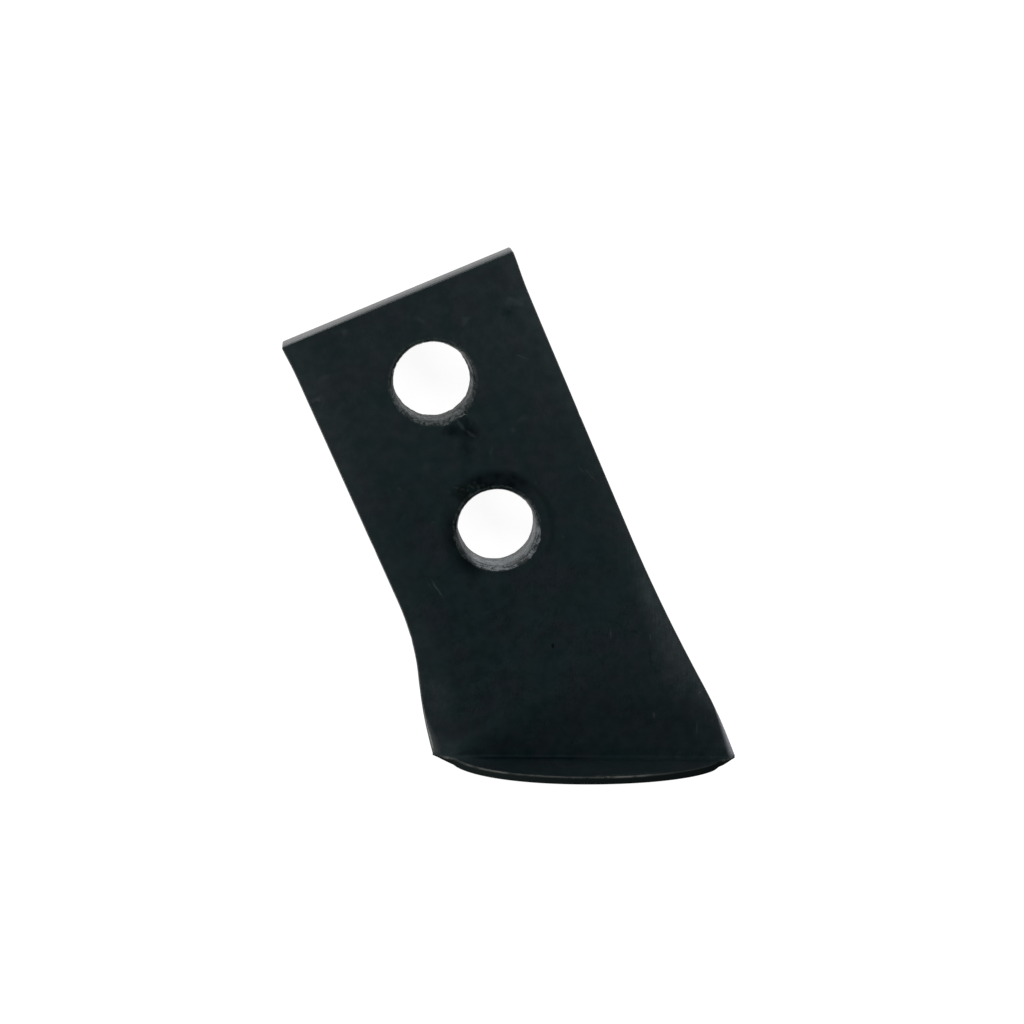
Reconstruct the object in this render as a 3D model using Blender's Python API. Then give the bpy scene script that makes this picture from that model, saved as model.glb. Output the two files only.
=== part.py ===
"""Rotary tiller blade in one piece: a flat steel shank with two bolt holes in line, whose free end is bent
up along a slanting line into a low curved lip. It lies on the shank's flat back face, at z = 0, with +Y
along the shank towards the bolted end and the lip turned up to +Z. The origin is midway between the holes.
"""

import math

import bmesh
import bpy
from mathutils import Vector
from mathutils.geometry import intersect_point_line

# Shank, in metres
SHANK_WIDTH = 0.0402
THICKNESS = 0.0060
HOLE_SPACING = 0.0270
HOLE_TO_END = 0.0150
SHORT_END_CORNER_RADIUS = 0.0004
LONG_END_CORNER_RADIUS = 0.0004

# The bolted end is sheared a little off square: each corner's offset from the end's mean level
SHORT_END_OFFSET = 0.0002
LONG_END_OFFSET = -0.0003

# Bolt holes, punched from the front, which draws their front rim in. The cutter's rim runs out a little
# past the face, by this share of its depth.
BOLT_HOLE_DIAMETER = 0.0130
RIM_WIDTH = 0.0008
RIM_DEPTH = 0.0015
RIM_RUN_OUT_SHARE = 0.04

# Short side (-X): where its flare starts, the flare's arc, and its corner on the bend
SHORT_FLARE_START = 0.0182
SHORT_FLARE_RADIUS = 0.0463
SHORT_FLARE_ANGLE = math.radians(18.0)
SHORT_CORNER_DROP = 0.0452
SHORT_CORNER_FLARE = 0.0052
SHORT_CORNER_RISE = 0.0002
SHORT_CORNER_ROUND = 0.0009

# Long side (+X), likewise
LONG_FLARE_START = 0.0218
LONG_FLARE_RADIUS = 0.3190
LONG_FLARE_ANGLE = math.radians(5.5)
LONG_CORNER_DROP = 0.0670
LONG_CORNER_FLARE = 0.0018
LONG_CORNER_RISE = 0.0003
LONG_CORNER_ROUND = 0.0013

# Lip: its bend, then its end curve, which runs between a shoulder near each corner and leaves it along a
# handle. Each pair is (in along the bend, out from the bend's start), from the corner or the shoulder.
BEND_ANGLE = math.radians(92.0)
BEND_RADIUS = 0.0006
SHORT_SHOULDER = (0.0037, 0.0010)
SHORT_HANDLE = (0.0059, 0.0150)
LONG_SHOULDER = (0.0028, 0.0012)
LONG_HANDLE = (0.0062, 0.0117)

# Lip's blunt edge, left by a bevel that is ground on the back
EDGE_LAND = 0.0013
CORNER_LAND = 0.0007
CORNER_TAPER = 0.0040
BEVEL_ANGLE = math.radians(16.0)
BEVEL_BLEND = 0.0012

# Edge rounding, and how far up each side the larger rounding at its corner fades out
EDGE_ROUND = 0.00025
CORNER_ROUND_REACH = 0.0100
ROUND_DEPTH_SHARE = 0.45

# Mesh fineness
ROUND_STEPS = 3
END_CURVE_STEPS = 48
COLUMN_STEPS = 28
SHANK_ROWS = 16
ROW_CROWDING = 1.6
BEND_ROWS = 9
LIP_ROWS = 5
CORNER_STEPS = 6
RIM_STEPS = 4
HOLE_SEGMENTS = 56
MERGE_DISTANCE = 0.00002
SHARP_ANGLE = math.radians(32.0)

SHORT = -1
LONG = 1
FRONT = 1
BACK = 0

PAINT_COLOUR = (0.012, 0.018, 0.019, 1.0)
PAINT_ROUGHNESS = 0.36
PAINT_METALLIC = 0.0


def clear_scene():
    for old in list(bpy.data.objects):
        bpy.data.objects.remove(old, do_unlink=True)


def black_paint():
    material = bpy.data.materials.new("black_paint")
    material.use_nodes = True
    shader = material.node_tree.nodes["Principled BSDF"]
    shader.inputs["Base Color"].default_value = PAINT_COLOUR
    shader.inputs["Roughness"].default_value = PAINT_ROUGHNESS
    shader.inputs["Metallic"].default_value = PAINT_METALLIC
    material.diffuse_color = PAINT_COLOUR
    return material


class Side:
    """A long side of the flat blank: straight, then an arc outwards, then a tangent arc to its corner."""

    def __init__(self, sign, end, end_radius, flare_start, flare_radius, flare_angle, corner, corner_round):
        self.sign = sign
        self.end = end
        self.end_radius = end_radius
        self.flare_start = flare_start
        self.flare_radius = flare_radius
        self.corner_round = corner_round
        drop, flare = corner
        self.corner = Vector((sign * (SHANK_WIDTH / 2 + flare), -drop))
        self.first_arc = flare_radius * Vector((math.sin(flare_angle), 1 - math.cos(flare_angle)))
        run = Vector((drop - flare_start, flare)) - self.first_arc
        inwards = Vector((math.sin(flare_angle), -math.cos(flare_angle)))
        self.second_radius = run.length_squared / (2 * run.dot(inwards))
        self.second_centre = self.first_arc + self.second_radius * inwards

    def flare_at(self, y):
        """How far the side stands out from the straight shank at this height."""
        drop = -y - self.flare_start
        if drop <= 0:
            return 0.0
        if drop <= self.first_arc.x:
            return self.flare_radius - math.sqrt(self.flare_radius**2 - drop**2)
        rise = math.sqrt(self.second_radius**2 - (drop - self.second_centre.x) ** 2)
        return self.second_centre.y + math.copysign(rise, self.second_radius)

    def point(self, y):
        """The point of the side at this height, drawn in round the bolted end's corner."""
        above = max(y - (self.end - self.end_radius), 0.0)
        inset = self.end_radius - math.sqrt(max(self.end_radius**2 - above**2, 0.0))
        return Vector((self.sign * (SHANK_WIDTH / 2 + self.flare_at(y) - inset), y))

    def round_at(self, y):
        """The front edge's rounding, which grows towards the corner."""
        near = max(0.0, 1 - (y - self.corner.y) / CORNER_ROUND_REACH)
        return EDGE_ROUND + (self.corner_round - EDGE_ROUND) * near**1.5


BOLTED_END = HOLE_SPACING / 2 + HOLE_TO_END
SIDES = {
    SHORT: Side(
        sign=SHORT,
        end=BOLTED_END + SHORT_END_OFFSET,
        end_radius=SHORT_END_CORNER_RADIUS,
        flare_start=SHORT_FLARE_START,
        flare_radius=SHORT_FLARE_RADIUS,
        flare_angle=SHORT_FLARE_ANGLE,
        corner=(SHORT_CORNER_DROP, SHORT_CORNER_FLARE),
        corner_round=SHORT_CORNER_ROUND,
    ),
    LONG: Side(
        sign=LONG,
        end=BOLTED_END + LONG_END_OFFSET,
        end_radius=LONG_END_CORNER_RADIUS,
        flare_start=LONG_FLARE_START,
        flare_radius=LONG_FLARE_RADIUS,
        flare_angle=LONG_FLARE_ANGLE,
        corner=(LONG_CORNER_DROP, LONG_CORNER_FLARE),
        corner_round=LONG_CORNER_ROUND,
    ),
}

# The bend starts on the line that joins the two corners. ALONG runs with it, and OUT away from the shank.
CHORD = SIDES[LONG].corner - SIDES[SHORT].corner
ALONG = CHORD.normalized()
OUT = Vector((ALONG.y, -ALONG.x))
BEND_LENGTH = BEND_RADIUS * BEND_ANGLE


def end_line():
    """The lip's end in the flat blank, as (along, out) points from corner to corner: one cubic curve
    between the two shoulders, and a straight run from each shoulder to its corner."""
    first = Vector(SHORT_SHOULDER)
    last = Vector((CHORD.length - LONG_SHOULDER[0], LONG_SHOULDER[1]))
    handles = first + Vector(SHORT_HANDLE), last + Vector((-LONG_HANDLE[0], LONG_HANDLE[1]))
    points = [Vector((0.0, SHORT_CORNER_RISE))]
    for step in range(END_CURVE_STEPS + 1):
        t = step / END_CURVE_STEPS
        ends = (1 - t) ** 3 * first + t**3 * last
        points.append(ends + 3 * (1 - t) * t * ((1 - t) * handles[0] + t * handles[1]))
    return points + [Vector((CHORD.length, LONG_CORNER_RISE))]


END_LINE = end_line()


def smaller(a, b, blend):
    """The smaller of two lengths, with a soft change from one to the other."""
    close = max(blend - abs(a - b), 0.0) / blend
    return min(a, b) - close**2 * blend / 4


def distance_to_end(along, out):
    point = Vector((along, out, 0.0))
    nearest = math.inf
    for first, second in zip(END_LINE, END_LINE[1:]):
        start = first.to_3d()
        finish = second.to_3d()
        foot, share = intersect_point_line(point, start, finish)
        foot = start.lerp(finish, min(max(share, 0.0), 1.0))
        nearest = min(nearest, (foot - point).length)
    return nearest


def steel_at(place):
    """The steel's thickness at a place of the blank: full, then thinned by the bevel to the blunt edge."""
    from_corner = place - SIDES[SHORT].corner
    along = from_corner.dot(ALONG)
    out = from_corner.dot(OUT)
    inward = min(max(min(along, CHORD.length - along), 0.0) / CORNER_TAPER, 1.0)
    land = CORNER_LAND + (EDGE_LAND - CORNER_LAND) * inward
    return smaller(THICKNESS, land + math.tan(BEVEL_ANGLE) * distance_to_end(along, out), BEVEL_BLEND)


def end_out(along):
    """How far beyond the bend's start the lip's end lies, at this distance along the chord."""
    for first, second in zip(END_LINE, END_LINE[1:]):
        if along <= second.x:
            return first.lerp(second, (along - first.x) / (second.x - first.x)).y
    return END_LINE[-1].y


def quarter(steps):
    """Angles from 0 to a right angle, in equal steps."""
    return [math.pi / 2 * step / steps for step in range(steps + 1)]


def columns():
    """Columns from the short side to the long one: an angle round an edge, or a distance along."""
    angles = quarter(ROUND_STEPS)
    start = SHORT_CORNER_ROUND
    width = CHORD.length - LONG_CORNER_ROUND - start
    shares = [(1 - math.cos(math.pi * step / COLUMN_STEPS)) / 2 for step in range(1, COLUMN_STEPS)]
    return (
        [(SHORT, angle) for angle in angles]
        + [(None, start + width * share) for share in shares]
        + [(LONG, angle) for angle in reversed(angles)]
    )


def rows():
    """Rows from the bolted end to the lip's end: each one's kind, value, and angle round the edge."""
    flat = math.pi / 2
    angles = quarter(ROUND_STEPS)
    larger_radius = max(SHORT_END_CORNER_RADIUS, LONG_END_CORNER_RADIUS)
    corner_drops = [larger_radius * (1 - math.cos(angle)) for angle in quarter(CORNER_STEPS)]
    listed = [("end", EDGE_ROUND * (1 - math.cos(angle)), angle) for angle in angles]
    listed += [("end", drop, flat) for drop in corner_drops if drop > EDGE_ROUND]
    turns = [(1 - step / SHANK_ROWS) ** ROW_CROWDING for step in range(SHANK_ROWS + 1)]
    listed += [("turn", turn, flat) for turn in turns]
    listed += [("bend", BEND_LENGTH * step / BEND_ROWS, flat) for step in range(1, BEND_ROWS + 1)]
    listed += [("lip", step / LIP_ROWS, flat) for step in range(1, LIP_ROWS)]
    listed += [("edge", 0.0, angle) for angle in reversed(angles)]
    return listed


def plate_place(row, column):
    """Where a row meets a column above the bend. Rows turn from square to the bend's slant."""
    kind, value, _ = row
    side, column_value = column
    if kind == "end":
        heights = {end: SIDES[end].end - value for end in SIDES}
    else:
        level = -min(SHORT_FLARE_START, LONG_FLARE_START)
        heights = {end: SIDES[end].corner.y + value * (level - SIDES[end].corner.y) for end in SIDES}
    ends = {end: SIDES[end].point(heights[end]) for end in SIDES}
    if side is None:
        return ends[SHORT].lerp(ends[LONG], column_value / CHORD.length)
    across = (ends[LONG] - ends[SHORT]).normalized()
    inset = SIDES[side].round_at(heights[side]) * (1 - math.cos(column_value))
    return ends[side] - side * inset * across


def lip_place(row, column):
    """Where a row meets a column beyond the bend's start, in the flat blank."""
    kind, value, row_angle = row
    side, along = column
    if side is not None:
        inset = SIDES[side].corner_round * (1 - math.cos(along))
        along = inset if side == SHORT else CHORD.length - inset
    full = end_out(along)
    flat_end = max(full - EDGE_ROUND, 0.0)
    bend_end = min(BEND_LENGTH, flat_end)
    if kind == "bend":
        out = min(value, flat_end)
    elif kind == "lip":
        out = bend_end + value * (flat_end - bend_end)
    else:
        out = full - (full - flat_end) * (1 - math.cos(row_angle))
    return SIDES[SHORT].corner + along * ALONG + out * OUT


def edge_drop(row, column, place, steel, face):
    """How far a face lies below its flat level where its edge is rounded off."""
    drop = 0.0
    side, column_value = column
    if side is not None:
        width = SIDES[side].round_at(place.y) if face == FRONT else EDGE_ROUND
        depth = min(width, ROUND_DEPTH_SHARE * steel)
        drop = depth * (1 - math.sin(column_value))
    depth = min(EDGE_ROUND, ROUND_DEPTH_SHARE * steel)
    return max(drop, depth * (1 - math.sin(row[2])))


def bent(place, height):
    """A point of the flat blank, at this height above its back face, after the lip is bent up."""
    out = (place - SIDES[SHORT].corner).dot(OUT)
    if out <= 0:
        return Vector((place.x, place.y, height))
    turn = min(out / BEND_RADIUS, BEND_ANGLE)
    straight = max(out - BEND_LENGTH, 0.0)
    from_axis = BEND_RADIUS + THICKNESS - height
    new_out = from_axis * math.sin(turn) + straight * math.cos(turn)
    new_height = THICKNESS + BEND_RADIUS - from_axis * math.cos(turn) + straight * math.sin(turn)
    plan = place + (new_out - out) * OUT
    return Vector((plan.x, plan.y, new_height))


def place_vertices(vertices, face, number):
    """Moves one face's numbered grid, whose rows start at the lip's end, to the bent blade."""
    all_columns = columns()
    all_rows = rows()[::-1]
    for vertex in vertices:
        row_number, column_number = divmod(vertex[number], len(all_columns))
        row = all_rows[row_number]
        column = all_columns[column_number]
        place = plate_place(row, column) if row[0] in ("end", "turn") else lip_place(row, column)
        steel = steel_at(place)
        drop = edge_drop(row, column, place, steel, face)
        height = THICKNESS - drop if face == FRONT else THICKNESS - steel + drop
        vertex.co = bent(place, height)


def blade_mesh():
    """The blade without its holes: a grid for each broad face, joined round the edge."""
    mesh = bpy.data.meshes.new("tiller_blade")
    model = bmesh.new()
    number = model.verts.layers.int.new("grid_number")
    bmesh.ops.create_grid(
        model,
        x_segments=len(columns()) - 1,
        y_segments=len(rows()) - 1,
        size=SHANK_WIDTH / 2,
    )
    back = list(model.verts)
    for count, vertex in enumerate(back):
        vertex[number] = count
    extruded = bmesh.ops.extrude_face_region(model, geom=list(model.faces))["geom"]
    front = [item for item in extruded if isinstance(item, bmesh.types.BMVert)]
    place_vertices(back, BACK, number)
    place_vertices(front, FRONT, number)
    bmesh.ops.remove_doubles(model, verts=model.verts, dist=MERGE_DISTANCE)
    bmesh.ops.dissolve_degenerate(model, edges=model.edges, dist=MERGE_DISTANCE / 2)
    bmesh.ops.recalc_face_normals(model, faces=model.faces)
    model.to_mesh(mesh)
    model.free()
    mesh.shade_smooth()
    mesh.set_sharp_from_angle(angle=SHARP_ANGLE)
    return mesh


def hole_cutter(name, y):
    """A turned cutter: the straight bore, then the drawn-in rim, a quarter ellipse."""
    bore = BOLT_HOLE_DIAMETER / 2
    rim_start = THICKNESS - RIM_DEPTH
    rim_rise = RIM_DEPTH * (1 + RIM_RUN_OUT_SHARE)
    low = -RIM_DEPTH
    high = THICKNESS + RIM_DEPTH
    profile = [(0.0, low), (bore, low)]
    for angle in quarter(RIM_STEPS):
        profile.append((bore + RIM_WIDTH * (1 - math.cos(angle)), rim_start + rim_rise * math.sin(angle)))
    profile += [(bore + RIM_WIDTH, high), (0.0, high)]
    model = bmesh.new()
    points = [model.verts.new((radius, 0.0, height)) for radius, height in profile]
    edges = [model.edges.new(pair) for pair in zip(points, points[1:])]
    bmesh.ops.spin(
        model,
        geom=points + edges,
        cent=(0.0, 0.0, 0.0),
        axis=(0.0, 0.0, 1.0),
        angle=2 * math.pi,
        steps=HOLE_SEGMENTS,
        use_merge=True,
    )
    bmesh.ops.remove_doubles(model, verts=model.verts, dist=MERGE_DISTANCE)
    bmesh.ops.recalc_face_normals(model, faces=model.faces)
    mesh = bpy.data.meshes.new(name)
    model.to_mesh(mesh)
    model.free()
    mesh.shade_smooth()
    mesh.set_sharp_from_angle(angle=SHARP_ANGLE)
    cutter = bpy.data.objects.new(name, mesh)
    cutter.location = (0.0, y, 0.0)
    cutter.hide_render = True
    cutter.display_type = "WIRE"
    bpy.context.scene.collection.objects.link(cutter)
    return cutter


def tiller_blade():
    blade = bpy.data.objects.new("tiller_blade", blade_mesh())
    blade.data.materials.append(black_paint())
    bpy.context.scene.collection.objects.link(blade)
    for name, y in (("upper_bolt_hole", HOLE_SPACING / 2), ("lower_bolt_hole", -HOLE_SPACING / 2)):
        cut = blade.modifiers.new(name, "BOOLEAN")
        cut.operation = "DIFFERENCE"
        cut.solver = "EXACT"
        cut.object = hole_cutter(name + "_cutter", y)
    return blade


clear_scene()
tiller_blade()
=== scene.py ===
"""The look of a rotary tiller blade: one bent steel plate in a thin black coat, on a pale floor."""

import math

import bmesh
import bpy
import numpy as np
from mathutils import Matrix, Vector, noise


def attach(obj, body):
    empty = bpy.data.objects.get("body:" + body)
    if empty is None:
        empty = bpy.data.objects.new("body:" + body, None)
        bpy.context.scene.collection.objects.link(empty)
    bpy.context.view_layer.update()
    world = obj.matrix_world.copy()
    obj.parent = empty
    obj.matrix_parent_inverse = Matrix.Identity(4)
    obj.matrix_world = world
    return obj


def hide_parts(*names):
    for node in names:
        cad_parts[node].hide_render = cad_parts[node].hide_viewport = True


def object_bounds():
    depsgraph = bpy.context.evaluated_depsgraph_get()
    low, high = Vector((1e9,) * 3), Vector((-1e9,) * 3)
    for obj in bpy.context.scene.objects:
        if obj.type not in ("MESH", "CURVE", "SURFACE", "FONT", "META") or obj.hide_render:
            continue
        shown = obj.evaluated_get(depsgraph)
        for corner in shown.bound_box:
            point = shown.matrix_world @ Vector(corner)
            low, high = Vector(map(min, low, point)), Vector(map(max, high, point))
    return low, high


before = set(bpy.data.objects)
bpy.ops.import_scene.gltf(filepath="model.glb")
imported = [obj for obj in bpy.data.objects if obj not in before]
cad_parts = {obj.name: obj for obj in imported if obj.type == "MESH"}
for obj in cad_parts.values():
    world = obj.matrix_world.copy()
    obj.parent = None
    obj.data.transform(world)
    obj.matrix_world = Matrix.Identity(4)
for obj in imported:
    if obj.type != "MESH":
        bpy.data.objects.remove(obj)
cad_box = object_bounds()

# The blade's sizes, in metres, as the solid has them
SHANK_WIDTH = 0.0402
THICKNESS = 0.0060
HOLE_SPACING = 0.0270
BOLTED_END = HOLE_SPACING / 2 + 0.0150
BORE_RADIUS = 0.0065
RIM_WIDTH = 0.0008
RIM_DEPTH = 0.0015
BEND_ANGLE = math.radians(92.0)
BEND_RADIUS = 0.0006
BEVEL_ANGLE = math.radians(16.0)
BEVEL_BLEND = 0.0012
EDGE_LAND = 0.0013
CORNER_LAND = 0.0007
CORNER_TAPER = 0.0040
EDGE_ROUND = 0.00025
CORNER_ROUND_REACH = 0.0100
CORNER_ROUND_POWER = 1.5
ROUND_DEPTH_SHARE = 0.45
SHORT_SHOULDER = Vector((0.0037, 0.0010))
SHORT_HANDLE = Vector((0.0059, 0.0150))
LONG_SHOULDER = Vector((0.0028, 0.0012))
LONG_HANDLE = Vector((0.0062, 0.0117))

# How far the shown faces lie inside the solid's
FACE_INSET = 0.00002
BACK_INSET = 0.00001

# Unevenness of the rolled faces and of the sheared sides: waves in each metre, and their depth
BROAD_WAVES, BROAD_DEPTH = 60, 0.000020
FINE_WAVES, FINE_DEPTH = 260, 0.000005
SIDE_WAVES, SIDE_DEPTH = 120, 0.000015
DENT_WAVES, DENT_DEPTH = 420, 0.00016
DENT_START = 0.38

# Mesh fineness of the shown blade
ROUND_STEPS = 5
CORNER_STEPS = 8
END_STEPS = 96
SIDE_STEPS = 80
COLUMN_STEPS = 116
SHANK_STEPS = 64
TURN_STEPS = 72
TURN_CROWDING = 1.35
BEND_STEPS = 14
LIP_STEPS = 22
HOLE_SEGMENTS = 160
WALL_STEPS = 20
RIM_STEPS = 8
SHELL_MERGE = 0.000004
SHELL_SLIVER = 0.000002
CUTTER_MERGE = 0.00001
CUTTER_MARGIN = 0.002
RIM_OVERRUN = 1.04
SHARP_ANGLE = math.radians(50)
TINY = 1e-18

# The finish measures in millimetres up to a limit, and a flat pattern holds at any height
MILLIMETRES = 1000
KEPT_LIMIT = 50
ANY_HEIGHT = 1000.0

# The kinds of row that lie on the flat plate, and the two long sides as the sign of x
PLATE_ROWS = ("end", "turn")
SHORT = -1
LONG = 1


class Side:
    """A long side of the flat blank: straight, an arc outwards, and a tangent arc to its corner."""

    def __init__(
        self,
        sign,
        end,
        end_radius,
        flare_start,
        flare_radius,
        flare_angle,
        corner,
        corner_round,
        rise,
    ):
        self.sign = sign
        self.end = end
        self.end_radius = end_radius
        self.flare_start = flare_start
        self.flare_radius = flare_radius
        self.corner_round = corner_round
        self.rise = rise
        drop, flare = corner
        self.corner = Vector((sign * (SHANK_WIDTH / 2 + flare), -drop))
        self.first_arc = flare_radius * Vector((math.sin(flare_angle), 1 - math.cos(flare_angle)))
        run = Vector((drop - flare_start, flare)) - self.first_arc
        inwards = Vector((math.sin(flare_angle), -math.cos(flare_angle)))
        self.second_radius = run.length_squared / (2 * run.dot(inwards))
        self.second_centre = self.first_arc + self.second_radius * inwards

    def flare_at(self, y):
        """How far the side has flared outwards at this height."""
        drop = -y - self.flare_start
        if drop <= 0:
            return 0.0
        if drop <= self.first_arc.x:
            return self.flare_radius - math.sqrt(self.flare_radius**2 - drop**2)
        rise = math.sqrt(self.second_radius**2 - (drop - self.second_centre.x) ** 2)
        return self.second_centre.y + math.copysign(rise, self.second_radius)

    def point(self, y):
        """The side's place in plan at this height, with the small round of its bolted end."""
        above = max(y - (self.end - self.end_radius), 0.0)
        inset = self.end_radius - math.sqrt(max(self.end_radius**2 - above**2, 0.0))
        return Vector((self.sign * (SHANK_WIDTH / 2 + self.flare_at(y) - inset), y))

    def row_height(self, kind, value):
        """How high up the side a row of the flat plate lies."""
        if kind == "end":
            return self.end - value
        return self.corner.y + value * (FLARE_LEVEL - self.corner.y)

    def round_at(self, y):
        """The rounding of the front edge, which grows towards the lip's corner."""
        near = max(0.0, 1 - (y - self.corner.y) / CORNER_ROUND_REACH)
        return EDGE_ROUND + (self.corner_round - EDGE_ROUND) * near**CORNER_ROUND_POWER


SIDES = {
    SHORT: Side(
        sign=SHORT,
        end=BOLTED_END + 0.0002,
        end_radius=0.0004,
        flare_start=0.0182,
        flare_radius=0.0463,
        flare_angle=math.radians(18.0),
        corner=(0.0452, 0.0052),
        corner_round=0.0009,
        rise=0.0002,
    ),
    LONG: Side(
        sign=LONG,
        end=BOLTED_END - 0.0003,
        end_radius=0.0004,
        flare_start=0.0218,
        flare_radius=0.3190,
        flare_angle=math.radians(5.5),
        corner=(0.0670, 0.0018),
        corner_round=0.0013,
        rise=0.0003,
    ),
}
CHORD = SIDES[LONG].corner - SIDES[SHORT].corner
ALONG = CHORD.normalized()
OUT = Vector((ALONG.y, -ALONG.x))
FLARE_LEVEL = -min(side.flare_start for side in SIDES.values())
BEND_LENGTH = BEND_RADIUS * BEND_ANGLE
HOLES = {"upper": Vector((0.0, HOLE_SPACING / 2)), "lower": Vector((0.0, -HOLE_SPACING / 2))}

# Marks of the shears and the punch: the corners' spread and its reach, the width and the depth
# of the rolled-in rims, and the depth of the walls' streaks, chips and burrs
SPREAD_CORNERS = {SHORT: (0.00025, 0.0030), LONG: (0.00032, 0.0042)}
ROLLED_RIMS = {"upper": (0.0010, 0.00003), "lower": (0.0016, 0.00010)}
TEARS = {"upper": (0.00010, 0.00022, 0.00034), "lower": (0.00005, 0.00010, 0.00026)}

# Single marks of the walls, each with its angle and its width in radians
BURRS = {"upper": (0.12, 0.54), "lower": (math.pi, 0.45)}
WORST_TEAR = (math.radians(-80), 0.34)
DEEP_NOTCH = (math.radians(-72), 0.12)
SMALL_NOTCH = (math.radians(-97), 0.09)
TEAR_DEPTH = 0.0014
NOTCH_DEPTH = 0.00045
TEAR_FOOT = 0.0022
TEAR_RISE = 0.0025
BURR_TOP = 0.0045
STREAK_WAVES = 1400
CHIP_WAVES = 500


def mesh_from(model, name):
    """The finished mesh of a model, which is then let go."""
    mesh = bpy.data.meshes.new(name)
    model.to_mesh(mesh)
    model.free()
    return mesh


def placed(name, data):
    """A new object in the scene, with this mesh, lamp or camera."""
    made = bpy.data.objects.new(name, data)
    bpy.context.scene.collection.objects.link(made)
    return made


def hump(value, middle, width):
    """1 at the middle, falling away smoothly on both sides."""
    return math.exp(-(((value - middle) / width) ** 2))


def held(value):
    """A value held between 0 and 1."""
    return min(max(value, 0.0), 1.0)


def end_line(steps):
    """The lip's end in the flat blank, as (along, out) points from corner to corner."""
    first = SHORT_SHOULDER
    last = Vector((CHORD.length - LONG_SHOULDER.x, LONG_SHOULDER.y))
    handles = first + SHORT_HANDLE, last + Vector((-LONG_HANDLE.x, LONG_HANDLE.y))
    points = [Vector((0.0, SIDES[SHORT].rise))]
    for step in range(steps + 1):
        t = step / steps
        ends = (1 - t) ** 3 * first + t**3 * last
        points.append(ends + 3 * (1 - t) * t * ((1 - t) * handles[0] + t * handles[1]))
    return points + [Vector((CHORD.length, SIDES[LONG].rise))]


END_LINE = np.array(end_line(END_STEPS))


def end_out(along):
    """How far beyond the bend's start the lip's end lies, at this distance along the bend."""
    return float(np.interp(along, END_LINE[:, 0], END_LINE[:, 1]))


def distance_to_line(points, line):
    """Each point's distance to a polyline, for arrays of points as rows."""
    nearest = np.full(len(points), np.inf)
    for start, run in zip(line, np.diff(line, axis=0)):
        offset = points - start
        share = np.clip(offset @ run / max(run @ run, TINY), 0, 1)
        nearest = np.minimum(nearest, np.linalg.norm(offset - share[:, None] * run, axis=1))
    return nearest


def quarter(steps):
    """The angles of a quarter turn, in even steps."""
    return [math.pi / 2 * step / steps for step in range(steps + 1)]


def from_short_corner(points):
    """How far points lie along the bend from the short side's corner, and how far out from it."""
    offsets = points - np.array(SIDES[SHORT].corner)
    return offsets @ np.array(ALONG), offsets @ np.array(OUT)


def columns():
    """Columns from the short side to the long one: an angle round an edge, or a distance along."""
    angles = quarter(ROUND_STEPS)
    start = SIDES[SHORT].corner_round
    width = CHORD.length - SIDES[LONG].corner_round - start
    even = [step / COLUMN_STEPS for step in range(1, COLUMN_STEPS)]
    crowded = [(1 - math.cos(math.pi * step / COLUMN_STEPS)) / 2 for step in range(1, COLUMN_STEPS)]
    return (
        [(SHORT, angle) for angle in angles]
        + [(None, start + width * (first + second) / 2) for first, second in zip(crowded, even)]
        + [(LONG, angle) for angle in reversed(angles)]
    )


def rows():
    """Rows from the bolted end to the lip's end: a kind, a value, and an angle round the edge."""
    flat = math.pi / 2
    angles = quarter(ROUND_STEPS)
    start = SIDES[LONG].end_radius
    shank = BOLTED_END - start - FLARE_LEVEL
    corner_drops = [start * (1 - math.cos(angle)) for angle in quarter(CORNER_STEPS)]
    round_end = 1.1 * EDGE_ROUND
    shank_drops = [start + shank * step / SHANK_STEPS for step in range(1, SHANK_STEPS)]
    turns = [(1 - step / TURN_STEPS) ** TURN_CROWDING for step in range(TURN_STEPS + 1)]
    listed = [("end", EDGE_ROUND * (1 - math.cos(angle)), angle) for angle in angles]
    listed += [("end", drop, flat) for drop in corner_drops if drop > round_end]
    listed += [("end", drop, flat) for drop in shank_drops]
    listed += [("turn", turn, flat) for turn in turns]
    listed += [("bend", BEND_LENGTH * step / BEND_STEPS, flat) for step in range(1, BEND_STEPS + 1)]
    listed += [("lip", step / LIP_STEPS, flat) for step in range(1, LIP_STEPS)]
    listed += [("edge", 0.0, angle) for angle in reversed(angles)]
    return listed


def plate_place(row, column):
    """A point of the flat plate: how far down its sides the row lies, then how far along it."""
    kind, value, _ = row
    side, column_value = column
    heights = {end: SIDES[end].row_height(kind, value) for end in SIDES}
    ends = {end: SIDES[end].point(heights[end]) for end in SIDES}
    if side is None:
        return ends[SHORT].lerp(ends[LONG], column_value / CHORD.length)
    across = (ends[LONG] - ends[SHORT]).normalized()
    inset = SIDES[side].round_at(heights[side]) * (1 - math.cos(column_value))
    return ends[side] - side * inset * across


def lip_place(row, column):
    """A point of the flat lip: how far along the bend its column lies, then how far out from it."""
    kind, value, row_angle = row
    side, along = column
    if side is not None:
        inset = SIDES[side].corner_round * (1 - math.cos(along))
        along = inset if side == SHORT else CHORD.length - inset
    full = max(end_out(along) - FACE_INSET, 0.0)
    flat_end = max(full - EDGE_ROUND, 0.0)
    bend_end = min(BEND_LENGTH, flat_end)
    if kind == "bend":
        out = min(value, flat_end)
    elif kind == "lip":
        out = bend_end + value * (flat_end - bend_end)
    else:
        out = full - (full - flat_end) * (1 - math.cos(row_angle))
    return SIDES[SHORT].corner + along * ALONG + out * OUT


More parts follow.
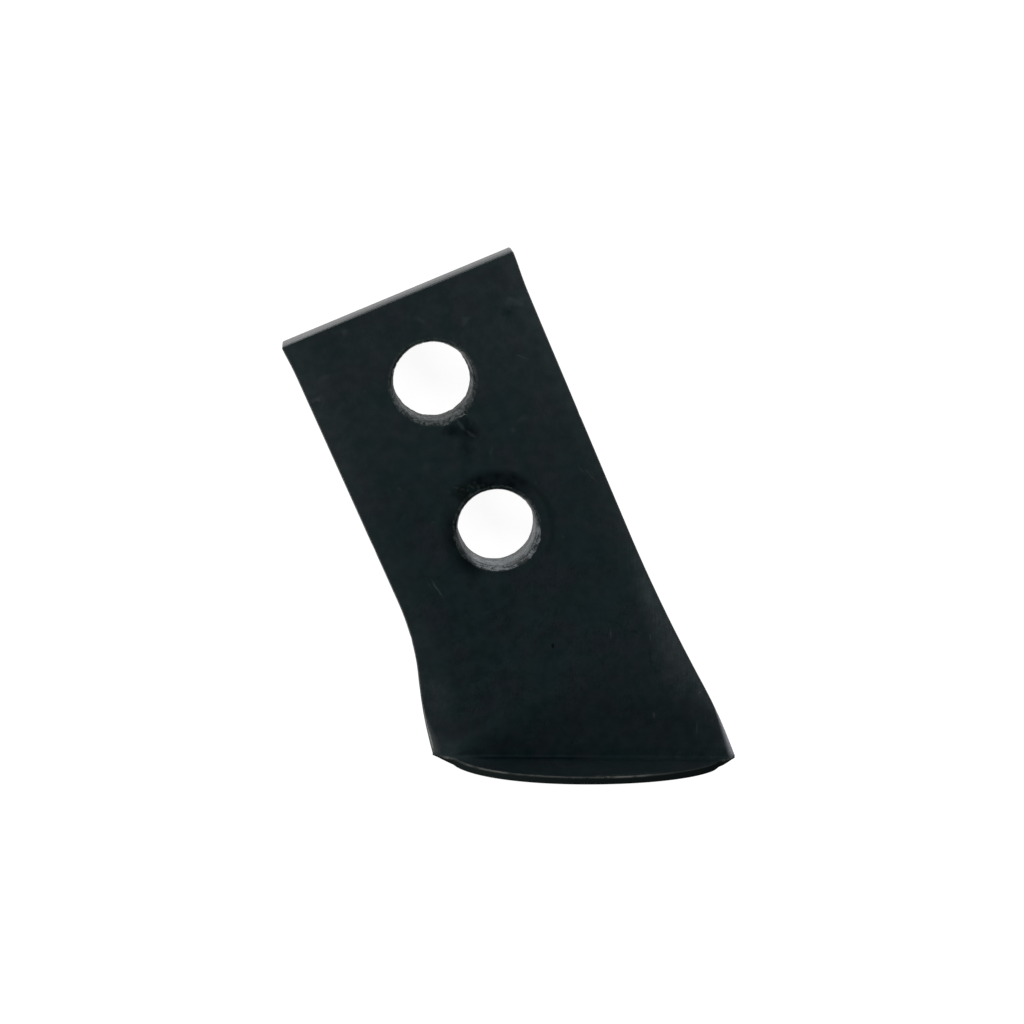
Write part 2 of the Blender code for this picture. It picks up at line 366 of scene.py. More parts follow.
def bent(place, height):
    """A point of the flat blank, at this height above its back face, after the lip is bent up."""
    out = (place - SIDES[SHORT].corner).dot(OUT)
    if out <= 0:
        return Vector((place.x, place.y, height))
    turn = min(out / BEND_RADIUS, BEND_ANGLE)
    straight = max(out - BEND_LENGTH, 0.0)
    from_axis = BEND_RADIUS + THICKNESS - height
    new_out = from_axis * math.sin(turn) + straight * math.cos(turn)
    new_height = THICKNESS + BEND_RADIUS - from_axis * math.cos(turn) + straight * math.sin(turn)
    plan = place + (new_out - out) * OUT
    return Vector((plan.x, plan.y, new_height))


def steel_thickness(places):
    """The steel's thickness at places of the blank: full, then thinned by the bevel to the edge."""
    along, out = from_short_corner(places)
    inward = np.clip(np.minimum(along, CHORD.length - along) / CORNER_TAPER, 0, 1)
    land = CORNER_LAND + (EDGE_LAND - CORNER_LAND) * inward
    distance = distance_to_line(np.stack([along, out], axis=1), END_LINE)
    bevel = land + math.tan(BEVEL_ANGLE) * distance
    close = np.maximum(BEVEL_BLEND - np.abs(bevel - THICKNESS), 0) / BEVEL_BLEND
    return np.minimum(THICKNESS, bevel) - close**2 * BEVEL_BLEND / 4


def roll_drop(place):
    """How far the front face is drawn down round the bolt holes by the punch."""
    drop = 0.0
    for name, (width, depth) in ROLLED_RIMS.items():
        past = (place - HOLES[name]).length - BORE_RADIUS - RIM_WIDTH
        drop += depth * hump(max(past, 0.0), 0.0, width)
    return drop


def surface_relief(place):
    """The rolled plate's slight unevenness, in metres: broad waves, and scale marks on them."""
    point = Vector((place.x, place.y, 0.0))
    broad = noise.noise(point * BROAD_WAVES)
    fine = noise.noise(point * FINE_WAVES + Vector((7.0, 3.0, 1.0)))
    return BROAD_DEPTH * broad + FINE_DEPTH * fine


def edge_shift(place, side):
    """How far a side lies outwards: small dents, and corners that the shears spread."""
    dents = noise.noise(Vector((place.y * DENT_WAVES, side * 9.0, 2.0)))
    waves = noise.noise(Vector((place.y * SIDE_WAVES, side * 5.0, 8.0)))
    spread, reach = SPREAD_CORNERS[side]
    spread *= hump(SIDES[side].end, place.y, reach)
    return spread - DENT_DEPTH * max(dents - DENT_START, 0.0) - SIDE_DEPTH * waves - BACK_INSET


def grid_points(front, all_rows, all_columns):
    """The place and height of every point of one broad face, in row order."""
    places = []
    for row in all_rows:
        put = plate_place if row[0] in PLATE_ROWS else lip_place
        places += [put(row, column) for column in all_columns]
    steel = steel_thickness(np.array(places)).tolist()
    heights = []
    for index, place in enumerate(places):
        row = all_rows[index // len(all_columns)]
        side, column_value = all_columns[index % len(all_columns)]
        drop = 0.0
        if side is not None:
            width = SIDES[side].round_at(place.y) if front else EDGE_ROUND
            drop = min(width, ROUND_DEPTH_SHARE * steel[index]) * (1 - math.sin(column_value))
        row_drop = min(EDGE_ROUND, ROUND_DEPTH_SHARE * steel[index]) * (1 - math.sin(row[2]))
        drop = max(drop, row_drop)
        if front:
            heights.append(THICKNESS - drop - roll_drop(place) + surface_relief(place) - FACE_INSET)
        else:
            heights.append(THICKNESS - steel[index] + drop + BACK_INSET)
    return places, heights


def blade_shell():
    """The blade without its holes: a grid for each broad face, joined round the edge."""
    all_rows = rows()[::-1]
    all_columns = columns()
    model = bmesh.new()
    number = model.verts.layers.int.new("grid_number")
    bmesh.ops.create_grid(
        model,
        x_segments=len(all_columns) - 1,
        y_segments=len(all_rows) - 1,
        size=SHANK_WIDTH / 2,
    )
    back = list(model.verts)
    for count, vertex in enumerate(back):
        vertex[number] = count
    extruded = bmesh.ops.extrude_face_region(model, geom=list(model.faces))["geom"]
    front = [item for item in extruded if isinstance(item, bmesh.types.BMVert)]
    for vertices, is_front in ((back, False), (front, True)):
        places, heights = grid_points(is_front, all_rows, all_columns)
        for vertex in vertices:
            place = places[vertex[number]]
            row_number, column_number = divmod(vertex[number], len(all_columns))
            side = all_columns[column_number][0]
            if side is not None and all_rows[row_number][0] in PLATE_ROWS:
                place = place + Vector((side * edge_shift(place, side), 0.0))
            vertex.co = bent(place, heights[vertex[number]])
    bmesh.ops.remove_doubles(model, verts=model.verts, dist=SHELL_MERGE)
    bmesh.ops.dissolve_degenerate(model, edges=model.edges, dist=SHELL_SLIVER)
    bmesh.ops.recalc_face_normals(model, faces=model.faces)
    return mesh_from(model, "blade_shell")


def torn(name, angle, height):
    """How far the punch tore a hole's wall outwards at an angle and a height, in metres."""
    around = Vector((math.cos(angle), math.sin(angle), 0.0))
    level = Vector((0.0, 0.0, height * STREAK_WAVES))
    streaks = noise.noise(around * 3.0 + level) + 0.5 * noise.noise(around * 11.0 + 2.2 * level)
    chips = max(noise.noise(around * 9.0 + Vector((0.0, 4.0, height * CHIP_WAVES))) - 0.1, 0.0)
    streak_depth, chip_depth, burr_height = TEARS[name]
    rough = streak_depth * streaks + chip_depth * chips
    low_part = held(1 - height / BURR_TOP)
    if name == "lower":
        burr = hump(abs(angle), *BURRS[name]) * low_part
        return rough - burr_height * burr
    high_part = held((height - TEAR_FOOT) / TEAR_RISE)
    notches = hump(angle, *DEEP_NOTCH) + 0.7 * hump(angle, *SMALL_NOTCH)
    torn_out = TEAR_DEPTH * hump(angle, *WORST_TEAR) * chips + NOTCH_DEPTH * notches
    burr = hump(angle, *BURRS[name]) * low_part
    return rough + torn_out * high_part - burr_height * burr


def hole_cutter(name):
    """A turned cutter: the straight bore, then the drawn-in rim, roughened as a punched hole is."""
    rim_start = THICKNESS - RIM_DEPTH
    profile = [(0.0, -CUTTER_MARGIN), (BORE_RADIUS, -CUTTER_MARGIN)]
    profile += [(BORE_RADIUS, rim_start * step / WALL_STEPS) for step in range(WALL_STEPS)]
    for angle in quarter(RIM_STEPS):
        height = rim_start + RIM_OVERRUN * RIM_DEPTH * math.sin(angle)
        profile.append((BORE_RADIUS + RIM_WIDTH * (1 - math.cos(angle)), height))
    top = THICKNESS + CUTTER_MARGIN
    profile += [(BORE_RADIUS + RIM_WIDTH, top), (0.0, top)]
    model = bmesh.new()
    points = [model.verts.new((radius, 0.0, height)) for radius, height in profile]
    edges = [model.edges.new(pair) for pair in zip(points, points[1:])]
    bmesh.ops.spin(
        model,
        geom=points + edges,
        cent=(0.0, 0.0, 0.0),
        axis=(0.0, 0.0, 1.0),
        angle=2 * math.pi,
        steps=HOLE_SEGMENTS,
        use_merge=True,
    )
    bmesh.ops.remove_doubles(model, verts=model.verts, dist=CUTTER_MERGE)
    for vertex in model.verts:
        radius = vertex.co.xy.length
        if radius > BORE_RADIUS / 2:
            angle = math.atan2(vertex.co.y, vertex.co.x)
            radius += torn(name, angle, vertex.co.z)
            vertex.co.xy = Vector((math.cos(angle), math.sin(angle))) * radius
    bmesh.ops.translate(model, verts=model.verts, vec=HOLES[name].to_3d())
    bmesh.ops.recalc_face_normals(model, faces=model.faces)
    return placed(name + "_cutter", mesh_from(model, name + "_cutter"))


def cut_blade():
    """The shell with both bolt holes cut through it, as one finished mesh."""
    blade = placed("black_blade", blade_shell())
    cutters = [hole_cutter(name) for name in HOLES]
    for cutter in cutters:
        cut = blade.modifiers.new(cutter.name, "BOOLEAN")
        cut.operation = "DIFFERENCE"
        cut.solver = "EXACT"
        cut.object = cutter
    graph = bpy.context.evaluated_depsgraph_get()
    finished = bpy.data.meshes.new_from_object(blade.evaluated_get(graph))
    blade.modifiers.clear()
    blade.data = finished
    for cutter in cutters:
        bpy.data.objects.remove(cutter)
    finished.name = "black_blade"
    finished.shade_smooth()
    finished.set_sharp_from_angle(angle=SHARP_ANGLE)
    return blade


def side_line(end):
    """A long side's outline in plan, as points."""
    low = SIDES[end].corner.y
    heights = [low + (BOLTED_END - low) * step / SIDE_STEPS for step in range(SIDE_STEPS + 1)]
    return np.array([SIDES[end].point(height) for height in heights])


def keep(mesh, name, values):
    """Keeps one length for each point of the mesh, in millimetres and within a limit."""
    attribute = mesh.attributes.new(name, "FLOAT", "POINT")
    kept = np.clip(MILLIMETRES * values, -KEPT_LIMIT, KEPT_LIMIT)
    attribute.data.foreach_set("value", kept.astype(np.float32))


def mark_places(mesh):
    """Measures every point from the long sides, the crease and the lip's end, for the finish."""
    points = np.empty(len(mesh.vertices) * 3)
    mesh.vertices.foreach_get("co", points)
    points = points.reshape(-1, 3)
    plan, heights = points[:, :2], points[:, 2]
    keep(mesh, "left_edge", distance_to_line(plan, side_line(SHORT)))
    keep(mesh, "right_edge", distance_to_line(plan, side_line(LONG)))
    along, out = from_short_corner(plan)
    from_axis = np.stack([out, heights - THICKNESS - BEND_RADIUS], axis=1)
    turn = np.arctan2(from_axis[:, 0], -from_axis[:, 1])
    bent_depth = np.linalg.norm(from_axis, axis=1) - BEND_RADIUS
    lip_depth = from_axis @ np.array((math.sin(BEND_ANGLE), -math.cos(BEND_ANGLE))) - BEND_RADIUS
    straight = from_axis @ np.array((math.cos(BEND_ANGLE), math.sin(BEND_ANGLE)))
    parts = [out < 0, turn < BEND_ANGLE]
    past_crease = np.select(parts, [out, BEND_RADIUS * turn], BEND_LENGTH + straight)
    inner_depth = np.select(parts, [THICKNESS - heights, bent_depth], lip_depth)
    keep(mesh, "past_crease", past_crease)
    keep(mesh, "inner_depth", np.maximum(inner_depth, 0))
    keep(mesh, "end_gap", distance_to_line(np.stack([along, past_crease], axis=1), END_LINE))
    from_crease = from_axis + np.array((-0.3 * BEND_RADIUS, 0.7 * BEND_RADIUS))
    keep(mesh, "crease", np.linalg.norm(from_crease, axis=1))
    keep(mesh, "along", along)
    ends = [SIDES[SHORT].end, SIDES[LONG].end]
    level = np.interp(plan[:, 0], [-SHANK_WIDTH / 2, SHANK_WIDTH / 2], ends)
    keep(mesh, "end_edge", level - plan[:, 1])


class Finish:
    """A node material that is built step by step. Each step returns the socket that it made."""

    def __init__(self, name):
        self.material = bpy.data.materials.new(name)
        self.material.use_nodes = True
        self.tree = self.material.node_tree
        self.shader = self.tree.nodes["Principled BSDF"]
        self.place = self.add("ShaderNodeTexCoord").outputs["Object"]

    def add(self, kind, **settings):
        made = self.tree.nodes.new(kind)
        for setting, value in settings.items():
            setattr(made, setting, value)
        return made

    def put(self, socket, value):
        if isinstance(value, bpy.types.NodeSocket):
            self.tree.links.new(value, socket)
        else:
            socket.default_value = value

    def math(self, operation, *values):
        made = self.add("ShaderNodeMath", operation=operation)
        for socket, value in zip(made.inputs, values):
            self.put(socket, value)
        return made.outputs[0]

    def chain(self, operation, first, *others):
        for other in others:
            first = self.math(operation, first, other)
        return first

    def product(self, *values):
        return self.chain("MULTIPLY", *values)

    def sum(self, *values):
        return self.chain("ADD", *values)

    def most(self, *values):
        return self.chain("MAXIMUM", *values)

    def rest(self, share):
        """What is left of 1 beside a share of it."""
        return self.math("SUBTRACT", 1.0, share)

    def fade(self, value, low, high, start=0.0, end=1.0):
        """Maps a value between low and high smoothly to start and end."""
        made = self.add("ShaderNodeMapRange", interpolation_type="SMOOTHSTEP")
        for socket, number in zip(made.inputs, (value, low, high, start, end)):
            self.put(socket, number)
        return made.outputs[0]

    def band(self, value, middle, half_width):
        """1 where a value is near the middle, fading to 0 at half a width from it."""
        away = self.math("ABSOLUTE", self.math("SUBTRACT", value, middle))
        return self.fade(away, 0.3 * half_width, half_width, 1.0, 0.0)

    def blend(self, share, first, second):
        made = self.add("ShaderNodeMix", data_type="RGBA")
        self.put(made.inputs["Factor"], share)
        self.put(made.inputs["A"], first)
        self.put(made.inputs["B"], second)
        return made.outputs["Result"]

    def between(self, share, first, second):
        """A number that goes from the first to the second as the share goes from 0 to 1."""
        made = self.add("ShaderNodeMix", data_type="FLOAT")
        for number, value in zip((0, 2, 3), (share, first, second)):
            self.put(made.inputs[number], value)
        return made.outputs[0]

    def scaled(self, vector, factor):
        made = self.add("ShaderNodeVectorMath", operation="SCALE")
        self.put(made.inputs[0], vector)
        self.put(made.inputs["Scale"], factor)
        return made.outputs[0]

    def warped(self, scale, reach):
        """The place moved about by noise, so that a mark's outline is uneven."""
        drift = self.add("ShaderNodeTexNoise")
        self.put(drift.inputs["Vector"], self.place)
        self.put(drift.inputs["Scale"], scale)
        centred = self.add("ShaderNodeVectorMath", operation="SUBTRACT")
        self.put(centred.inputs[0], drift.outputs["Color"])
        self.put(centred.inputs[1], (0.5, 0.5, 0.5))
        moved = self.add("ShaderNodeVectorMath", operation="ADD")
        self.put(moved.inputs[0], self.place)
        self.put(moved.inputs[1], self.scaled(centred.outputs[0], reach))
        return moved.outputs[0]

    def mapped(self, place, reach, turn=0.0, centre=(0.0, 0.0)):
        """A place about a centre, turned, in shares of the reach."""
        made = self.add("ShaderNodeMapping", vector_type="TEXTURE")
        self.put(made.inputs["Vector"], place)
        self.put(made.inputs["Location"], (*centre, 0.0))
        self.put(made.inputs["Rotation"], (0.0, 0.0, math.radians(turn)))
        self.put(made.inputs["Scale"], (*reach, ANY_HEIGHT)[:3])
        return made.outputs[0]

    def noise(self, scale, detail=3.0, roughness=0.55, place=None):
        made = self.add("ShaderNodeTexNoise")
        self.put(made.inputs["Vector"], self.place if place is None else place)
        self.put(made.inputs["Scale"], scale)
        self.put(made.inputs["Detail"], detail)
        self.put(made.inputs["Roughness"], roughness)
        return made.outputs[0]

    def distance(self, place, centre, reach=(1.0, 1.0), turn=0.0):
        """Distance in plan from a centre, in shares of the reach."""
        made = self.add("ShaderNodeVectorMath", operation="LENGTH")
        self.put(made.inputs[0], self.mapped(place, reach, turn, centre))
        return made.outputs["Value"]

    def patch(self, place, centre, reach, turn):
        """1 at a centre, falling evenly to 0 at the reach."""
        made = self.add("ShaderNodeTexGradient", gradient_type="SPHERICAL")
        self.put(made.inputs["Vector"], self.mapped(place, reach, turn, centre))
        return made.outputs["Fac"]

    def facing(self, place, centre, turn):
        """1 in one direction from a centre, falling to -1 in the opposite one."""
        split = self.add("ShaderNodeSeparateXYZ")
        self.put(split.inputs[0], self.mapped(place, (1.0, 1.0), turn, centre))
        return self.math("DIVIDE", split.outputs[0], self.distance(place, centre))

    def measure(self, name):
        """A number that is kept for each point of the mesh."""
        return self.add("ShaderNodeAttribute", attribute_name=name).outputs["Fac"]


def grey(level):
    return (level, level, level, 1.0)


BLACK = grey(0.0)
COAT_TEAL = (0.0048, 0.0109, 0.0124, 1.0)
COAT_VIOLET = (0.0062, 0.0104, 0.0125, 1.0)
COAT_GREEN = (0.0047, 0.0112, 0.0116, 1.0)
PALE_MARK_AND_PAINTED_LIGHT_GREY = (0.088, 0.102, 0.106, 1.0)
# Near-black tones, for painted shade round the lower hole and in the crease, and for the dark line
# at the holes' edges
NEAR_BLACK = (0.0012, 0.0028, 0.0040, 1.0)
GREENISH_NEAR_BLACK = (0.0016, 0.0036, 0.0032, 1.0)
LIP_COAT_LEFT = (0.0092, 0.0124, 0.0122, 1.0)
LIP_COAT = (0.0050, 0.0072, 0.0072, 1.0)
FLAKE_GREY = (0.020, 0.026, 0.023, 1.0)
RIM_GREY = (0.024, 0.032, 0.031, 1.0)
WALL_DARK = (0.006, 0.008, 0.009, 1.0)
UPPER_WALL_PALE = (0.088, 0.102, 0.103, 1.0)
LOWER_WALL_PALE = (0.200, 0.220, 0.232, 1.0)
SHEARED_PALE = (0.050, 0.053, 0.057, 1.0)
SHEARED_DARK = (0.034, 0.036, 0.040, 1.0)
# Pale tones: wear and painted highlight along the lip's end and the long sides, and painted
# highlights on the lip's corners
WEAR_AND_HIGHLIGHT_GREY = (0.066, 0.070, 0.066, 1.0)
RIGHT_CORNER_HIGHLIGHT = (0.190, 0.195, 0.220, 1.0)
LEFT_CORNER_HIGHLIGHT = (0.046, 0.050, 0.050, 1.0)
EDGE_WEAR_AND_HIGHLIGHT = (0.017, 0.020, 0.021, 1.0)

# Marks on the broad face: middle, half length and half width, turn in degrees, stops of light
SOFT_MARKS = [
    ((0.0173, 0.0206), (0.0030, 0.0011), -23, 0.75),
    ((0.0156, 0.0192), (0.0015, 0.0009), -23, -0.80),
    ((0.0022, 0.0238), (0.0014, 0.0008), -50, 0.60),
    ((0.0088, 0.0207), (0.0014, 0.0009), 20, 0.60),
    ((-0.0100, 0.0268), (0.0008, 0.0012), -24, 0.90),
    ((-0.0164, 0.0211), (0.0020, 0.0012), 10, 0.45),
    ((-0.0187, 0.0185), (0.0015, 0.0006), -20, 0.80),
    ((0.0110, 0.0020), (0.0016, 0.0009), 20, 0.75),
    ((0.0089, 0.0009), (0.0008, 0.0006), 60, 0.60),
    ((0.0043, -0.0012), (0.0016, 0.0004), 66, 0.75),
    ((-0.0064, 0.0010), (0.0017, 0.0008), -10, 0.55),
    ((-0.0004, 0.0048), (0.0024, 0.0015), -50, -1.40),
    ((0.0023, 0.0044), (0.0030, 0.0020), -70, -1.40),
    ((0.0009, 0.0016), (0.0040, 0.0018), 74, -0.70),
    ((-0.0062, -0.0172), (0.0042, 0.0022), 80, -0.70),
    ((-0.0047, -0.0216), (0.0034, 0.0015), -24, 0.25),
    ((-0.0199, -0.0362), (0.0062, 0.0034), 78, 0.55),
    ((0.0189, -0.0344), (0.0110, 0.0034), 82, 0.60),
    ((0.0180, -0.0460), (0.0100, 0.0034), 82, 0.50),
    ((-0.0095, -0.0079), (0.0005, 0.0004), 0, 0.90),
    ((-0.0122, -0.0007), (0.0005, 0.0004), 0, 0.80),
    ((0.0096, -0.0190), (0.0005, 0.0004), 0, 0.80),
    ((0.0089, -0.0090), (0.0007, 0.0004), 66, 0.95),
]

# Fine scratches: start, end, half width, stops of light
SCRATCHES = [
    ((-0.0136, -0.0163), (-0.0128, -0.0213), 0.00019, 1.6),
    ((-0.0144, -0.0168), (-0.0140, -0.0188), 0.00010, 0.8),
    ((0.0137, 0.0127), (0.0163, 0.0104), 0.00012, 0.8),
    ((0.0171, -0.0093), (0.0186, -0.0135), 0.00014, 0.8),
    ((0.0163, -0.0085), (0.0172, -0.0110), 0.00012, 0.7),
    ((-0.0141, -0.0059), (-0.0126, -0.0047), 0.00014, 0.9),
    ((-0.0083, -0.0258), (-0.0064, -0.0263), 0.00011, 0.8),
    ((0.0199, -0.0541), (0.0212, -0.0537), 0.00016, 1.0),
    ((0.0184, -0.0580), (0.0171, -0.0611), 0.00014, 1.0),
    ((0.0109, -0.0369), (0.0101, -0.0391), 0.00020, 1.2),
    ((0.0167, -0.0405), (0.0161, -0.0421), 0.00017, 1.1),
    ((0.0138, -0.0388), (0.0150, -0.0401), 0.00040, -0.5),
    ((0.0160, -0.0423), (0.0144, -0.0464), 0.00026, -0.5),
    ((0.0010, -0.0355), (0.0005, -0.0365), 0.00030, -1.6),
    ((0.0121, -0.0536), (0.0115, -0.0551), 0.00024, 1.2),
    ((0.0010, 0.0066), (0.0017, 0.0038), 0.00042, 1.5),
    ((0.0017, 0.0042), (0.0029, 0.0020), 0.00042, 1.4),
]

# Clusters of short strokes: turn in degrees, a stroke's length and width, stops of light
STROKES = [
    (66, (0.0010, 0.00020), 0.50),
    (60, (0.0013, 0.00024), -0.50),
    (-26, (0.0009, 0.00020), 0.40),
    (15, (0.0007, 0.00022), -0.40),
]


class Coat(Finish):
    """The black coat's material, with the places and the noise that its marks share."""

    def __init__(self):
        super().__init__("black_coat")
        split = self.add("ShaderNodeSeparateXYZ")
        self.put(split.inputs[0], self.place)
        self.x, self.y, self.z = split.outputs
        self.loose_place = self.warped(900, 0.0016)
        self.near_place = self.warped(700, 0.0005)
        self.fine = self.noise(1500, 3.0, 0.6)
        self.grain = self.noise(5200, 2.0, 0.6)


def coat_tone(coat):
    """How many stops lighter or darker than its mean the coat is at each place."""
    tone = coat.fade(coat.y, -0.016, 0.014, 0.03, 0.57)
    for scale, detail, reach in ((60, 3.0, 0.12), (520, 4.0, 0.26)):
        mottle = coat.fade(coat.noise(scale, detail, 0.62), 0.3, 0.7, -reach, reach)
        tone = coat.sum(tone, mottle)
    # Painted light: the coat is lighter towards the bend, standing in for the light that the lip
    # keeps off the plate.
    tone = coat.sum(tone, coat.fade(coat.y, -0.042, -0.056, 0.0, 0.40))
    # Painted light: the coat is lighter near the short side, and near both long sides towards the
    # bend.
    tone = coat.sum(tone, coat.fade(coat.measure("left_edge"), 0.3, 6.5, 0.55, 0.0))
    for side, reach in (("left_edge", 9.0), ("right_edge", 7.0)):
        near_side = coat.fade(coat.measure(side), 0.3, reach, 0.45, 0.0)
        tone = coat.sum(tone, coat.product(near_side, coat.fade(coat.y, -0.034, -0.052)))
    for near, far, stops in ((0.3, 3.0, 0.45), (3.0, 15.0, 0.22)):
        tone = coat.sum(tone, coat.fade(coat.measure("right_edge"), near, far, stops, 0.0))
    # Painted shade: darker close to the crease, over most of the bend's length.
    shaded = coat.product(
        coat.fade(coat.measure("crease"), 1.0, 6.5, 1.0, 0.0),
        coat.band(coat.measure("along"), 22.0, 20.0),
    )
    tone = coat.math("MULTIPLY_ADD", shaded, -0.28, tone)
    # Painted light: lighter close to the crease at the short side's end, lifting the shade that the
    # lip casts there.
    left_crease = coat.product(
        coat.fade(coat.measure("crease"), 0.5, 4.5, 0.50, 0.0),
        coat.fade(coat.measure("along"), 3.0, 12.0, 1.0, 0.0),
    )
    tone = coat.sum(tone, left_crease)
    return strokes(coat, scratches(coat, soft_marks(coat, tone)))


def soft_marks(coat, tone):
    """The tone with the broad soft marks put in."""
    for place, reach, turn, stops in SOFT_MARKS:
        patch = coat.fade(coat.patch(coat.loose_place, place, reach, turn), 0.0, 0.9)
        tone = coat.math("MULTIPLY_ADD", patch, stops, tone)
    return tone


def scratches(coat, tone):
    """The tone with the single fine scratches put in."""
    for start, end, width, stops in SCRATCHES:
        run = Vector(end) - Vector(start)
        middle = (Vector(end) + Vector(start)) / 2
        turn = math.degrees(math.atan2(run.y, run.x))
        line = coat.patch(coat.near_place, middle, (run.length / 2, width), turn)
        tone = coat.math("MULTIPLY_ADD", coat.fade(line, 0.0, 0.6), stops, tone)
    return tone


def strokes(coat, tone):
    """The tone with streaks along the long side, and with clusters of short strokes."""
    streaks = coat.noise(1.0, 3.0, 0.6, coat.mapped(coat.place, (0.0045, 0.00028), 68))
    zone = coat.product(
        coat.fade(coat.measure("right_edge"), 0.5, 5.0, 1.0, 0.0),
        coat.band(coat.y, -0.0360, 0.0240),
    )
    tone = coat.math("MULTIPLY_ADD", coat.fade(streaks, 0.35, 0.70, 0.25, 0.75), zone, tone)
    clusters = coat.fade(coat.noise(150, 3.0), 0.40, 0.62)
    clusters = coat.product(clusters, coat.fade(coat.y, 0.000, -0.034, 0.45, 1.0))
    for turn, reach, stops in STROKES:
        stroke = coat.noise(1.0, 2.0, 0.5, coat.mapped(coat.near_place, reach, turn))
        tone = coat.sum(tone, coat.product(coat.fade(stroke, 0.56, 0.68), clusters, stops))
    return tone


def coat_colour(coat, tone):
    """The coat's colour for its tone, and the share of its brightness that its darker places leave,
    painted shade among them.
    """
    colour = coat.blend(coat.fade(coat.noise(140, 4.0), 0.42, 0.60), COAT_TEAL, COAT_VIOLET)
    green = coat.fade(coat.noise(190, 4.0, 0.55, coat.warped(40, 0.01)), 0.50, 0.62, 0.0, 0.8)
    colour = coat.blend(green, colour, COAT_GREEN)
    # A lighter tone goes towards pale grey: pale marks of the coat, and painted light where the
    # tone holds it.
    gain = coat.math("SUBTRACT", coat.math("POWER", 2.0, coat.most(tone, 0.0)), 1.0)
    colour = coat.blend(coat.product(gain, 0.084), colour, PALE_MARK_AND_PAINTED_LIGHT_GREY)
    # A darker tone goes towards black: dark marks of the coat, and painted shade where the tone
    # holds it.
    dimming = coat.math("POWER", 2.0, coat.math("MINIMUM", tone, 0.0))
    return coat.blend(dimming, BLACK, colour), dimming


def lower_hole_shade(coat):
    """Painted shade round the lower hole, where its rolled-in rim dips: thick above it, thin at its
    left, and a faint arc at its right.
    """
    centre = HOLES["lower"]
    place = coat.near_place
    radius = coat.distance(place, centre)
    uneven = coat.fade(coat.noise(520, 3.0), 0.36, 0.60, 0.62, 1.0)
    above = coat.product(
        coat.fade(coat.facing(place, centre, 76), 0.48, 0.90),
        coat.fade(radius, BORE_RADIUS + 0.0024, BORE_RADIUS + 0.0042, 1.0, 0.0),
    )
    left = coat.product(
        coat.fade(coat.facing(place, centre, 176), 0.52, 0.95, 0.0, 0.90),
        coat.fade(radius, BORE_RADIUS + 0.0010, BORE_RADIUS + 0.0034, 1.0, 0.0),
    )
    arc = coat.product(
        coat.fade(coat.facing(place, centre, 5), 0.40, 0.80, 0.0, 0.35),
        coat.band(radius, BORE_RADIUS + 0.0028, 0.0007),
    )
    close = coat.fade(radius, BORE_RADIUS + 0.0008, BORE_RADIUS + 0.0022, 0.35, 0.0)
    close = coat.product(close, coat.fade(coat.facing(place, centre, 110), -0.45, 0.3))
    halo = coat.most(coat.most(above, left), coat.most(arc, close))
    # A patch above the hole's left side is left out of the painted shade.
    left_patch = coat.distance(place, (-0.0052, -0.0061), (0.0017, 0.0011), -24)
    bare = coat.fade(left_patch, 0.5, 1.1, 0.8, 0.0)
    return coat.product(halo, uneven, coat.rest(bare))


def hole_shade_and_flakes(coat, colour, halo):
    """The colour with the painted shade round the lower hole, greenish on its left side, and with
    pale flakes in that area.
    """
    green_side = coat.fade(coat.facing(coat.place, HOLES["lower"], 150), 0.20, 0.85)
    colour = coat.blend(halo, colour, coat.blend(green_side, NEAR_BLACK, GREENISH_NEAR_BLACK))
    flaked = coat.distance(coat.loose_place, (-0.0018, -0.0052), (0.0042, 0.0016), -20)
    flaked = coat.fade(flaked, 0.3, 1.0, 1.0, 0.0)
    flakes = coat.product(coat.fade(coat.fine, 0.52, 0.62), flaked, 0.55)
    return coat.blend(flakes, colour, FLAKE_GREY)


def side_lines_and_corner_highlights(coat, colour, past_crease):
    """The colour with a thin line of wear and painted highlight along both long sides, and with
    painted highlights on the rounded corners at the lip's two ends.
    """
    # Wear and painted highlight along the rounded long sides.
    for side, reach in (("left_edge", 0.62), ("right_edge", 0.50)):
        line = coat.fade(coat.measure(side), 0.12, reach, 1.0, 0.0)
        broken = coat.fade(coat.fine, 0.36, 0.60, 0.25, 1.0)
        colour = coat.blend(coat.product(line, broken, 0.8), colour, EDGE_WEAR_AND_HIGHLIGHT)
    # Painted highlights on the rounded corners where the long sides meet the lip.
    for side, start, end, reach, lightened in (
        ("right_edge", -0.0550, -0.0668, 1.3, RIGHT_CORNER_HIGHLIGHT),
        ("left_edge", -0.0350, -0.0450, 1.8, LEFT_CORNER_HIGHLIGHT),
    ):
        width = coat.fade(coat.y, start, end, 0.15, reach)
        corner = coat.fade(coat.math("DIVIDE", coat.measure(side), width), 0.15, 1.0, 1.0, 0.0)
        low_part = coat.fade(coat.y, start, (start + end) / 2)
        corner = coat.product(corner, low_part, coat.fade(coat.fine, 0.3, 0.5, 0.6, 1.0))
        corner = coat.product(corner, coat.fade(past_crease, -0.5, 0.3, 1.0, 0.25))
        colour = coat.blend(corner, colour, lightened)
    return colour


